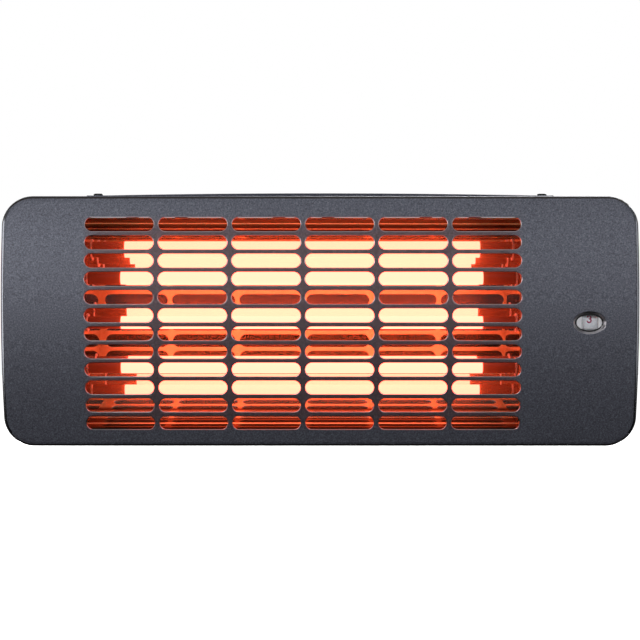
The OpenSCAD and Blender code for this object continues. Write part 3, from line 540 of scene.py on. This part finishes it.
def make_finishes():
    """Every finish, by the record's material slot."""
    FINISHES.update({
        "cover_paint": hammered_powder_coat(),
        "polished_aluminium": rolled_aluminium(),
        "quartz": milky_quartz(),
        "hot_coil": glowing_wire(),
        "clear_lens": clear_acrylic(),
        # Satin polyester powder coat: even, with a fine orange peel
        "shell_paint": mottled(
            "satin_powder_coat", "#44464B", colours().shell, 2.5, 0.5, bump=0.03, bump_grain=1.6),
        # The same coat on thicker strip, a little darker
        "bracket_paint": mottled(
            "satin_black_powder_coat", "#2A2B2F", "#34363A", 2.5, 0.5, bump=0.03, bump_grain=1.6),
        # Bright polished steel sheet, which mirrors the tubes in its slight waves
        "end_plate_steel": mottled(
            "bright_stamped_steel", "#D9D8D6", "#E6E5E3", 6, 0.0, metallic=1.0,
            bump=0.02, bump_grain=9),
        # Pressed and fired steatite ceramic: chalky and dense, with a faint speckle
        "steatite": mottled(
            "fired_steatite", "#E2DBCE", "#EFE9DF", 0.8, 0.75, bump=0.02, bump_grain=0.5),
        # Zinc-plated steel: pale, slightly blue, with soft spangle
        "zinc_steel": mottled(
            "zinc_plated_steel", "#A9ADB2", "#C6C9CC", 3, 0.32, metallic=1.0),
        # Stamped brass, dulled by heat
        "brass": mottled("stamped_brass", "#9A7A3C", "#B8954E", 3, 0.35, metallic=1.0),
        # Black oxide on steel: nearly matt, with a waxy sheen
        "black_screws": mottled(
            "black_oxide_steel", "#0D0D0F", "#17181A", 0.6, 0.34, metallic=0.4,
            bump=0.01, bump_grain=0.4),
        # Moulded black nylon with a light spark-eroded grain
        "black_plastic": mottled(
            "moulded_black_nylon", "#131416", "#1B1C1E", 0.7, 0.45, bump=0.02, bump_grain=0.5),
        # Moulded white thermoset, a little warm
        "white_plastic": mottled(
            "moulded_white_urea", "#DDDCD6", "#E8E7E2", 4, 0.4, bump=0.01, bump_grain=1.0),
        # Silver-grey moulded plastic of the indicator drum
        "drum_plastic": mottled(
            "moulded_silver_abs", "#DCDEE2", "#ECEEF1", 1.5, 0.35, metallic=0.1),
        # Pressed red fibre sheet of the friction washers
        "fibre": mottled("vulcanised_fibre", "#6A3524", "#7D4430", 0.8, 0.8,
                         bump=0.02, bump_grain=0.4),
        # Braided glass sleeves over the leads, smooth from a step away
        "brown_sleeve": mottled("brown_sleeve", "#5A3420", "#6B4129", 0.9, 0.55),
        "blue_sleeve": mottled("blue_sleeve", "#26508E", "#3161A3", 0.9, 0.55),
        "green_sleeve": mottled("green_yellow_sleeve", "#5E8A2A", "#C9C036", 9, 0.55,
                                contrast=(0.48, 0.52)),
    })


def dress(piece, slot):
    """Gives a new piece its finish and names the record's slot for it."""
    piece.data.materials.clear()
    piece.data.materials.append(FINISHES[slot])


# Stage

# The pieces that show only the glow
SHADED = ("reflector", "left_end_plate", "right_end_plate", "quartz_tube_top",
          "quartz_tube_middle", "quartz_tube_bottom", "left_end_caps", "right_end_caps")


def flagged_off():
    """The pieces that the softboxes don't reach, as one collection."""
    group = bpy.data.collections.get("flagged_off")
    if group is None:
        group = bpy.data.collections.new("flagged_off")
        for name in SHADED:
            group.objects.link(frame["nodes"][name])
        for item in group.collection_objects:
            item.light_linking.link_state = "EXCLUDE"
    return group


def place_camera():
    """The camera in front of the heater, a little above its middle."""
    picture, focal = 640, 1467  # in pixels
    distance, rise = 1.150, math.radians(3.2)
    data = bpy.data.cameras.new("camera")
    data.lens = focal / picture * 36  # the sensor is 36 mm wide
    camera = bpy.data.objects.new("camera", data)
    bpy.context.scene.collection.objects.link(camera)
    camera.location = (0, COVER_LOW.y - distance * math.cos(rise), distance * math.sin(rise))
    # Aimed 2.8 pixels above the middle of the heater's front and 0.1 left of it
    camera.rotation_euler = (math.pi / 2 - rise + 2.8 / focal, 0, 0.1 / focal)
    bpy.context.scene.camera = camera


def lay_floor():
    """A plain pale floor."""
    bpy.ops.object.select_all(action="DESELECT")
    bpy.ops.mesh.primitive_plane_add(size=8, location=(0, 0, -0.42))
    floor = bpy.context.object
    settle(floor, "floor")
    material, tree, output = blank("pale_floor")
    # Pale to the camera, with the heater's shadow, and too dark to light its underside
    ray = add(tree, "LightPath")
    pale = add(tree, "BsdfDiffuse", {"Color": linear("#E9E9EA")})
    lift = add(tree, "Emission", {"Color": (1, 1, 1, 1), "Strength": 1.0})
    seen = add(tree, "AddShader", {0: pale.outputs[0], 1: lift.outputs[0]})
    unseen = add(tree, "BsdfDiffuse", {"Color": linear("#1C1C1E")})
    above = add(tree, "MixShader", {
        0: ray.outputs["Is Camera Ray"], 1: unseen.outputs[0], 2: seen.outputs[0]})
    side = add(tree, "NewGeometry")
    surface(tree, output, add(tree, "MixShader", {
        0: side.outputs["Backfacing"], 1: above.outputs[0],
        2: add(tree, "BsdfTransparent").outputs[0]}))
    floor.data.materials.append(material)


def light_world():
    """White to the camera, and a dim studio to everything else, darker low down."""
    world = bpy.data.worlds.new("studio")
    bpy.context.scene.world = world
    world.use_nodes = True
    tree = world.node_tree
    tree.nodes.clear()
    output = add(tree, "OutputWorld")
    place = add(tree, "TexCoord")
    parts = add(tree, "SeparateXYZ", {0: place.outputs["Generated"]})
    height = add(tree, "MapRange", {
        "Value": parts.outputs["Z"], "From Min": 0.1, "From Max": 1.0,
        "To Min": 0.02, "To Max": 0.35})
    # The mirror of the reflector sees a dark room
    ray = add(tree, "LightPath")
    flag = add(tree, "MapRange", {
        "Value": ray.outputs["Is Singular Ray"], "To Min": 1.0, "To Max": 0.04})
    power = add(tree, "Math", {0: height.outputs["Result"], 1: flag.outputs["Result"]},
                operation="MULTIPLY")
    studio = add(tree, "Background", {
        "Color": (0.95, 0.97, 1.0, 1.0), "Strength": power.outputs["Value"]})
    white = add(tree, "Background", {"Color": (1, 1, 1, 1), "Strength": 1.0})
    mixed = add(tree, "MixShader", {
        0: ray.outputs["Is Camera Ray"], 1: studio.outputs[0], 2: white.outputs[0]})
    surface(tree, output, mixed)


def hang_softboxes():
    """Softboxes all round, flagged off the polished parts, so that these show only the glow.

    Each has a name, a place, an aim, a width, a depth and a power in watts."""
    for name, place, target, width, depth, power in (
            ("key_left", (-0.95, -2.1, 0.62), (-0.1, -0.1, 0.02), 0.9, 0.8, 16.5),
            ("key_right", (0.95, -2.1, 0.62), (0.1, -0.1, 0.02), 0.9, 0.8, 10),
            ("top_softbox", (0.0, -0.4, 1.5), (0, -0.1, 0), 1.8, 0.7, 5),
            ("left_strip", (-1.6, -0.35, 0.15), (0, -0.1, 0), 1.1, 1.0, 7),
            ("right_strip", (1.6, -0.35, 0.15), (0, -0.1, 0), 1.1, 1.0, 3),
            ("back_softbox", (0.9, 1.9, 0.9), (0, 0, 0), 2.0, 1.4, 75),
            ("back_fill", (-1.0, 2.1, 0.1), (0, 0, 0), 0.8, 1.4, 22),
            ("under_fill", (0.0, 0.5, -1.6), (0, 0, 0), 1.6, 1.0, 9)):
        data = bpy.data.lights.new(name, "AREA")
        data.shape, data.size, data.size_y, data.energy = "RECTANGLE", width, depth, power
        lamp = bpy.data.objects.new(name, data)
        bpy.context.scene.collection.objects.link(lamp)
        lamp.location = place
        lamp.rotation_euler = (Vector(target) - Vector(place)).to_track_quat("-Z", "Y").to_euler()
        lamp.light_linking.receiver_collection = flagged_off()


def build_stage():
    bpy.context.scene.view_settings.view_transform = "Standard"
    place_camera()
    lay_floor()
    light_world()
    hang_softboxes()


# Pieces

def bow_back(z):
    """How far the face lies behind its apex at a height."""
    radius = sizes().bow_radius
    return radius - math.sqrt(radius ** 2 - z ** 2)


def screw_y():
    """The y coordinate of the cover's screws."""
    return COVER_LOW.y + bow_back(COVER_HIGH.z) + sizes().screw_back


def bow_normals(piece):
    """Gives the faces of the bow the normals of the true curve, so that no level cut shows."""
    mesh = piece.data
    axis_y = COVER_LOW.y + sizes().bow_radius
    # The face's own strips are no higher than a row of slots, and within 2 degrees of the bow
    tallest = sizes().slot_pitch_z + 1.33 * MM
    normals = [corner.vector.copy() for corner in mesh.corner_normals]
    for face in mesh.polygons:
        out = Vector((0, face.center.y - axis_y, face.center.z)).normalized()
        turned = out.dot(face.normal)
        spread = max(mesh.vertices[v].co.z for v in face.vertices) - min(
            mesh.vertices[v].co.z for v in face.vertices)
        if abs(turned) > 0.9994 and spread < tallest:
            for loop in face.loop_indices:
                at = mesh.vertices[mesh.loops[loop].vertex_index].co
                true = Vector((0, at.y - axis_y, at.z)).normalized()
                normals[loop] = true if turned > 0 else -true
    mesh.normals_split_custom_set(normals)


# Material slots of the cover, after its paint: zinc, painted shade, painted highlight, painted
# shade in the dish, and painted highlight along the bend
ZINC, EDGE, LIP, DISH_SHADE, BEND = range(1, 6)


def cover_faces(piece):
    """The inside of the pressing is yellow-passivated zinc. The cut edges of the slots are
    dark from the heat, and the rolled lips round them and round the window show thinner
    paint. A black gasket lies in the window's dish. The bend at the front is glossy at the
    sides and darkens in bands where it turns away from the light."""
    bare = mottled("yellow_passivated_zinc", "#B0AD78", "#BAB884", 3, 0.5)
    # Painted shade: a near-black copy of the paint, on the slots' cut edges and in bands along the
    # bend
    edge = mottled("painted_shade_edge", "#120A08", "#1C100C", 0.8, 0.7)
    # Painted highlight: a lighter, glossier copy of the paint, on the slots' lips and the dish's
    # flank
    lip = mottled("painted_highlight_lip", "#928F93", "#A4A1A5", 0.8, 0.28, metallic=1.0)
    # Painted shade: black on the floor of the window's dish
    dish_shade = mottled("painted_shade_dish_floor", "#0B0B0D", "#121215", 1, 0.7)
    # Painted highlight: a lighter, glossier copy of the paint along the sides of the bent front
    # edge
    bend = mottled("painted_highlight_bend", "#86888F", "#92949B", 1.5, 0.2, metallic=1.0)
    for material in (bare, edge, lip, dish_shade, bend):
        piece.data.materials.append(material)
    size = sizes()
    axis_y = COVER_LOW.y + size.bow_radius
    sheet = size.cover_thickness
    reach_x = size.slot_columns / 2 * size.slot_pitch_x
    reach_z = size.slot_rows / 2 * size.slot_pitch_z
    for face in piece.data.polygons:
        at = face.center
        out = Vector((0, at.y - axis_y, at.z))
        # How far the face lies behind the bow, and how it turns: 1 looks out and -1 looks in
        depth = size.bow_radius - out.length
        turned = out.normalized().dot(face.normal)
        grille = (abs(at.x - size.grille_x) < reach_x and abs(at.z - size.grille_z) < reach_z
                  and depth < 2 * sheet)
        # Half the window and its border, with a tenth of the window to spare
        dish = (abs(at.x - size.window_x) < 0.6 * size.window_length + size.dimple_border
                and abs(at.z) < 0.6 * size.window_height + size.dimple_border)
        # The rim's back edge stays painted
        if at.y > COVER_HIGH.y - 0.7 * MM:
            continue
        if turned < -0.6 and depth > sheet / 2:  # the back of the face
            face.material_index = ZINC
        # Painted shade on the dish's floor
        elif dish and turned > 0.9 and depth > size.dimple_depth / 2:  # the dish's floor
            face.material_index = DISH_SHADE
        # Painted highlight on the dish's flank
        elif dish and abs(turned) < 0.95 and depth < size.dimple_depth + MM:  # its flank
            face.material_index = LIP
        # Painted shade on a slot's cut edge
        elif grille and depth > size.lip_radius:  # a slot's cut edge
            face.material_index = EDGE
        # Painted highlight on a slot's rolled lip
        elif grille and turned < 0.98 and depth > 0.02 * MM:  # its rolled lip
            face.material_index = LIP
        elif not grille and not dish:
            side = Vector((at.x, 0, at.z)).normalized()
            # The rim's inside
            if depth > 2 * MM and side.dot(face.normal) < -0.3 and abs(face.normal.y) < 0.8:
                face.material_index = ZINC
            # The bend, where up is 1 along the top and -1 along the bottom: dark bands of painted
            # shade, and a painted highlight at the sides
            elif 0.08 < turned < 0.985 and depth < size.edge_radius + MM:
                up = face.normal.z / math.hypot(face.normal.x, face.normal.z)
                if up > 0.8:
                    face.material_index = EDGE if 0.66 < turned < 0.93 else 0
                elif up < -0.8:
                    face.material_index = EDGE if turned < 0.87 else 0
                else:
                    face.material_index = BEND if turned > 0.66 else EDGE


def build_cover():
    size = sizes()
    low, high = COVER_LOW, COVER_HIGH
    face = low.y
    piece = block("cover_pressing", low, high)
    pick(piece, "EDGE", lambda edge: along(edge, 1))
    bpy.ops.mesh.bevel(
        offset=size.corner_radius, segments=18, affect="EDGES", clamp_overlap=False)
    close()
    pick(piece, "FACE", lambda item: item.normal.y > 0.9)
    bpy.ops.mesh.delete(type="FACE")
    close()
    pick(piece, "EDGE", lambda edge: all(abs(v.co.y - face) < SAME for v in edge.verts))
    bpy.ops.mesh.bevel(
        offset=size.edge_radius, segments=6, affect="EDGES", clamp_overlap=False)
    close()
    # Level cuts between the rows of slots, and 6 mm beyond them, let the face bend
    first = size.grille_z - size.slot_rows / 2 * size.slot_pitch_z
    levels = [first + i * size.slot_pitch_z for i in range(size.slot_rows + 1)]
    cut_levels(piece, 2, [*levels, levels[0] - 6 * MM, levels[-1] + 6 * MM])
    # Each level of the front moves back to the bow
    step_levels(piece, 2, lambda v: v.co.y < high.y - SAME, lambda z: (0, bow_back(z), 0))
    tidy(piece)
    modify(piece, "SOLIDIFY", thickness=size.cover_thickness, offset=-1)

    # Window: a pad from inside the sheet backwards, an oval dish pressed into it that flares
    # towards the front, and the opening
    floor_share, flare = 0.86, 1.24
    wide = size.window_length + 2 * size.dimple_border
    tall = size.window_height + 2 * size.dimple_border
    sheet = size.cover_thickness
    pad = oval("pad", wide + 2 * sheet, tall + 2 * sheet, face + 0.6 * MM,
               face + size.dimple_depth + sheet, size.window_x, 0)
    combine(piece, pad, "UNION")
    dish = oval("dish", wide * floor_share, tall * floor_share, face - 1 * MM,
                face + size.dimple_depth, size.window_x, 0, front=flare)
    combine(piece, dish)
    opening = oval("opening", size.window_length, size.window_height, face - 1 * MM,
                   face + 8 * MM, size.window_x, 0)
    combine(piece, opening)

    # Slots: one cutter, repeated along the rows and up the columns
    cutter = round_slot(
        "slots", size.slot_length, size.slot_height, face - 2 * MM, face + 18 * MM,
        size.grille_x - (size.slot_columns - 1) / 2 * size.slot_pitch_x,
        size.grille_z - (size.slot_rows - 1) / 2 * size.slot_pitch_z)
    for count, step in ((size.slot_columns, (size.slot_pitch_x, 0, 0)),
                        (size.slot_rows, (0, 0, size.slot_pitch_z))):
        modify(cutter, "ARRAY", count=count, use_relative_offset=False,
               use_constant_offset=True, constant_offset_displace=step)
    combine(piece, cutter)

    # Two screw holes, each through both rims, and the hole of the eyelet in the bottom rim
    eye_low, eye_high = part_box("cord_eyelet")
    eye = (eye_low + eye_high) / 2
    for radius, x, y, top, sides in (
            (2.05 * MM, -size.screw_x, screw_y(), high.z + MM, 24),
            (2.05 * MM, size.screw_x, screw_y(), high.z + MM, 24),
            (5 * MM, eye.x, eye.y, low.z + 4 * MM, 32)):
        combine(piece, rod("hole", radius, (x, y, low.z - MM), (x, y, top), sides))
    rounded(piece, size.lip_radius, 3)
    bow_normals(piece)
    dress(piece, "cover_paint")
    cover_faces(piece)
    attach(piece, "heater")
    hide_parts("front_cover")


def build_strip():
    """Arched strip of sheet steel over the top rim, with a flat tab under each screw.

    Its front edge turns down to the rim."""
    low, high = STRIP_LOW, STRIP_HIGH
    sheet = sizes().strip_thickness
    # The arch spans the strip between its tabs
    half = sizes().screw_x - 7 * MM
    rise = high.z - low.z - sheet
    radius = (half ** 2 + rise ** 2) / (2 * rise)
    top = block("arched_strip", low, (high.x, high.y, low.z + sheet))
    # No face of the front edge lies in a face of the strip, so the union is clean
    hair = 0.02 * MM
    edge = block("edge", (low.x + MM, low.y + hair, low.z + hair),
                 (high.x - MM, low.y + sheet, low.z + sheet / 2))
    # The whole strip rises, but only the upper side of its front edge
    cuts = 60
    for piece, floor in ((top, low.z - MM), (edge, low.z + sheet / 4)):
        cut_levels(piece, 0, [low.x + (high.x - low.x) * i / cuts for i in range(1, cuts)])
        step_levels(piece, 0, lambda v: abs(v.co.x) < half and v.co.z > floor,
                    lambda x: (0, 0, math.sqrt(radius ** 2 - x ** 2) - (radius - rise)))
    combine(top, edge, "UNION")
    rounded(top, 0.3 * MM)
    dress(top, "cover_paint")
    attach(top, "heater")
    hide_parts("top_strip")


def build_cover_screws():
    """Pan-head screws with a cross recess, two on the top strip and two under the bottom rim."""
    size = sizes()
    seat = STRIP_LOW.z + size.strip_thickness
    radius, rise = size.screw_head / 2, size.screw_head_height
    head = rod("screw", radius, (0, 0, 0), (0, 0, rise), 40)
    pick(head, "EDGE", lambda edge: all(v.co.z > rise / 2 for v in edge.verts)
         and len(edge.link_faces) == 2)
    bpy.ops.mesh.bevel(offset=1.2 * MM, segments=6, affect="EDGES", profile=0.55)
    close()
    # The cross recess: two tapered bars, 1 mm deep
    long, short, deep = 4.4 * MM, 1.0 * MM, 1.0 * MM
    for wide, tall in ((long, short), (short, long)):
        recess = block("recess", (-wide / 2, -tall / 2, rise - deep),
                       (wide / 2, tall / 2, rise + MM))
        pick(recess, "FACE", lambda item: item.normal.z < -0.9)
        bpy.ops.transform.resize(value=(0.75, 0.75, 1))
        close()
        combine(head, recess)
    shank = rod("shank", 2.0 * MM, (0, 0, -6.5 * MM), (0, 0, 0.4 * MM), 24)
    combine(head, shank, "UNION")
    rounded(head, 0.12 * MM, 1)
    heads = []
    for x in (-size.screw_x, size.screw_x):
        heads.append(copy(head, "top", (x, screw_y(), seat)))
        heads.append(copy(head, "bottom", (x, screw_y(), COVER_LOW.z), (1, 1, -1)))
    bpy.data.objects.remove(head)
    piece = join("pan_head_screws", heads)
    dress(piece, "black_screws")
    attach(piece, "heater")
    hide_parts("cover_screws")


def digit(shape, stroke, height):
    """A digit as a smooth round stroke along a polyline, in the XZ plane."""
    curve = bpy.data.curves.new("digit", "CURVE")
    curve.dimensions = "3D"
    curve.bevel_depth = stroke / 2
    curve.bevel_resolution = 2
    curve.use_fill_caps = True
    line = curve.splines.new("NURBS")
    line.points.add(len(shape) - 1)
    for point, (x, z) in zip(line.points, shape):
        point.co = (x * height, 0, z * height, 1)
    line.order_u = 3
    line.use_endpoint_u = True
    line.use_cyclic_u = shape[0] == shape[-1]
    line.resolution_u = 6
    piece = bpy.data.objects.new("digit", curve)
    bpy.context.scene.collection.objects.link(piece)
    only(piece)
    bpy.ops.object.convert(target="MESH")
    return bpy.context.object


# Strokes of the digits 3, 0, 1 and 2, in shares of their height, sharp where a point is doubled
DIGITS = (
    [(-0.27, 0.26), (-0.25, 0.5), (0.12, 0.56), (0.29, 0.36), (0.24, 0.08), (-0.06, 0.05),
     (0.24, 0.02), (0.32, -0.3), (0.1, -0.56), (-0.28, -0.5), (-0.3, -0.24)],
    [(0, 0.5), (-0.28, 0.5), (-0.28, -0.5), (0.28, -0.5), (0.28, 0.5), (0, 0.5)],
    [(-0.16, 0.26), (0.04, 0.48), (0.04, 0.48), (0.04, -0.5), (0.04, -0.5)],
    [(-0.26, 0.26), (-0.22, 0.54), (0.24, 0.56), (0.3, 0.2), (0.05, -0.1), (-0.28, -0.48),
     (-0.28, -0.48), (0.3, -0.48), (0.3, -0.48)],
)


def build_drum():
    """Moulded drum with a digit on each quarter: 3 in front at rest, then 0, 1 and 2."""
    size = sizes()
    middle = (DRUM_LOW + DRUM_HIGH) / 2
    radius = (DRUM_HIGH.z - DRUM_LOW.z) / 2
    piece = rod("indicator_drum_moulding", radius, (DRUM_LOW.x, middle.y, middle.z),
                (DRUM_HIGH.x, middle.y, middle.z), 96)
    combine(piece, rod("bore", 3.02 * MM, (DRUM_LOW.x - MM, middle.y, middle.z),
                       (DRUM_HIGH.x + MM, middle.y, middle.z), 32))
    rounded(piece, 0.5 * MM)
    dress(piece, "drum_plastic")
    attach(piece, "indicator")
    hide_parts("indicator_drum")
    ink, tree, output = blank("printed_digit_ink")
    # Screen-printed ink: matt, with slightly uneven cover
    place = add(tree, "TexCoord")
    cover = add(tree, "TexNoise", {"Vector": place.outputs["Object"], "Scale": 1 / (0.8 * MM)})
    tone = tones(tree, cover.outputs["Fac"], linear("#8C1042"), linear(colours().digit))
    surface(tree, output, add(tree, "BsdfPrincipled", {
        "Base Color": tone.outputs["Color"], "Roughness": 0.6}))
    # The digits sit a little above and to the right of their quarters' middles
    above, aside = 0.18, 0.7 * MM  # above in radians
    # Each stroke is pressed to this share of its roundness and stands this proud of the drum
    flatness, proud = 0.06, 0.03 * MM
    for i, shape in enumerate(DIGITS):
        mark = digit(shape, 1.15 * MM, size.digit_height)
        turn = math.radians(90 * i)
        for vertex in mark.data.vertices:
            x, y, z = vertex.co
            reach = radius + proud + y * flatness
            angle = z / radius + above
            up, back = reach * math.sin(angle), reach * math.cos(angle)
            vertex.co = (
                middle.x + x + aside,
                middle.y - back * math.cos(turn) + up * math.sin(turn),
                middle.z + up * math.cos(turn) + back * math.sin(turn))
        settle(mark, "drum_digit_" + "3012"[i])
        tidy(mark, 0.001 * MM)
        mark.data.materials.clear()
        mark.data.materials.append(ink)
        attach(mark, "indicator")


# Width in millimetres of the rounded edges of the frame's own pieces that show outside
EDGED = {"rear_shell": 0.5, "wall_bracket": 0.45, "hanger_bracket": 0.45, "clamp_knob_left": 0.4,
         "clamp_knob_right": 0.4, "cable_gland": 0.25, "pull_lever": 0.25, "cord_eyelet": 0.2}


def finish_nodes():
    """Every frame piece that still shows gets its own finish, and some get rounded edges."""
    slots = {part["node"]: part["material_slot"] for part in frame["record"]["subparts"]}
    for name, node in frame["nodes"].items():
        node.data.materials.clear()
        node.data.materials.append(FINISHES[slots[name]])
    for name, width in EDGED.items():
        node = frame["nodes"][name]
        # The rounding needs one face to a flat side, so the frame's triangles merge first
        weld = node.modifiers.new("weld", "WELD")
        weld.merge_threshold = 0.002 * MM
        flat = node.modifiers.new("flat", "DECIMATE")
        flat.decimate_type, flat.angle_limit = "DISSOLVE", math.radians(0.5)
        bevel = node.modifiers.new("edges", "BEVEL")
        bevel.width, bevel.segments = width * MM, 2
        bevel.limit_method, bevel.angle_limit = "ANGLE", math.radians(32)
        bevel.harden_normals = True


# The add-on's operators and panel

def operator(name, label, text, action):
    """One operator class for a piece or a group of like pieces."""
    def execute(self, context):
        action()
        return {"FINISHED"}
    return type("HEATER_OT_" + name, (bpy.types.Operator,), {
        "bl_idname": "heater." + name, "bl_label": label, "__doc__": text, "execute": execute})


OPERATORS = [
    operator("stage", "Stage", "Camera, floor and studio light", build_stage),
    operator("cover", "Front cover", "Bowed pressing with its grille and window", build_cover),
    operator("strip", "Top strip", "Arched strip over the top rim", build_strip),
    operator("screws", "Cover screws", "Four pan-head screws", build_cover_screws),
    operator("drum", "Indicator drum", "Drum and its digits", build_drum),
    operator("nodes", "Finish the rest", "Finishes of the pieces that keep the frame's shape",
             finish_nodes),
]


class HEATER_PT_panel(bpy.types.Panel):
    """Lists the heater's sizes, colours and pieces."""
    bl_label = "Heater"
    bl_idname = "HEATER_PT_panel"
    bl_space_type = "VIEW_3D"
    bl_region_type = "UI"
    bl_category = "Heater"

    def draw(self, context):
        for group in (context.scene.heater_sizes, context.scene.heater_colours):
            box = self.layout.box()
            for key in group.__annotations__:
                box.prop(group, key)
        for kind in OPERATORS:
            self.layout.operator(kind.bl_idname)


CLASSES = [HeaterSizes, HeaterColours, *OPERATORS, HEATER_PT_panel]


def register():
    for kind in CLASSES:
        bpy.utils.register_class(kind)
    bpy.types.Scene.heater_sizes = bpy.props.PointerProperty(type=HeaterSizes)
    bpy.types.Scene.heater_colours = bpy.props.PointerProperty(type=HeaterColours)


def unregister():
    del bpy.types.Scene.heater_colours
    del bpy.types.Scene.heater_sizes
    for kind in reversed(CLASSES):
        bpy.utils.unregister_class(kind)


def main():
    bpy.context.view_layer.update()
    register()
    make_finishes()
    for name in ("stage", "cover", "strip", "screws", "drum", "nodes"):
        getattr(bpy.ops.heater, name)()


if __name__ == "__main__":
    main()
